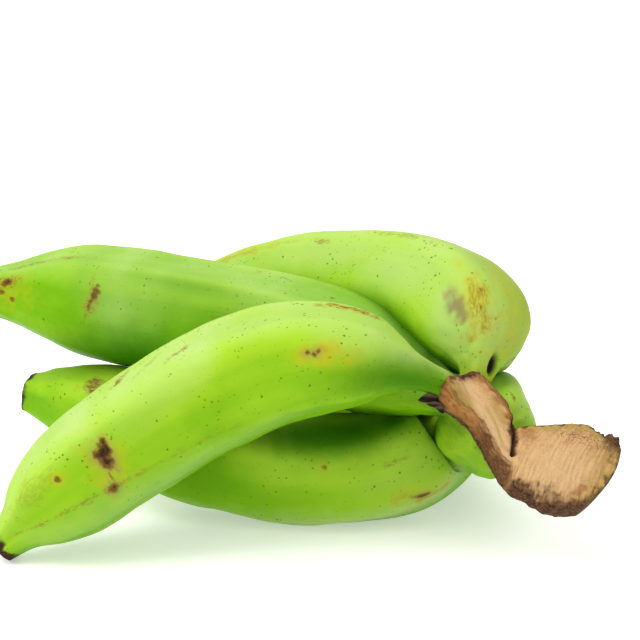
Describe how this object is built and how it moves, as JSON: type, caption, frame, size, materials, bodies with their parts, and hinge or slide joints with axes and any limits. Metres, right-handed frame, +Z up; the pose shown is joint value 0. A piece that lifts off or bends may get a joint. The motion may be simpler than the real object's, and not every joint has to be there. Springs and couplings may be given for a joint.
{
  "type": "hand of green plantains",
  "caption": "Hand of unripe plantains: curved, five-sided green fingers with blunt dark blossom ends, grown together on a cut and dried brown crown, lying at rest.",
  "frame": {"origin": "on the ground, under the middle of the hand's box", "axes": "+Z up from the ground it rests on; +X along the hand's longest extent, from the blossom ends towards the crown; +Y from the front finger towards the hidden under finger"},
  "size_m": [0.2682, 0.1922, 0.1183],
  "materials": {
    "peel": "waxy satin, unripe green",
    "crown": "dry, fibrous, matt"
  },
  "bodies": {
    "root": {"crown": "crown", "finger_front": "peel", "finger_left": "peel", "finger_top": "peel", "finger_lower": "peel", "finger_under": "peel"}
  },
  "joints": []
}
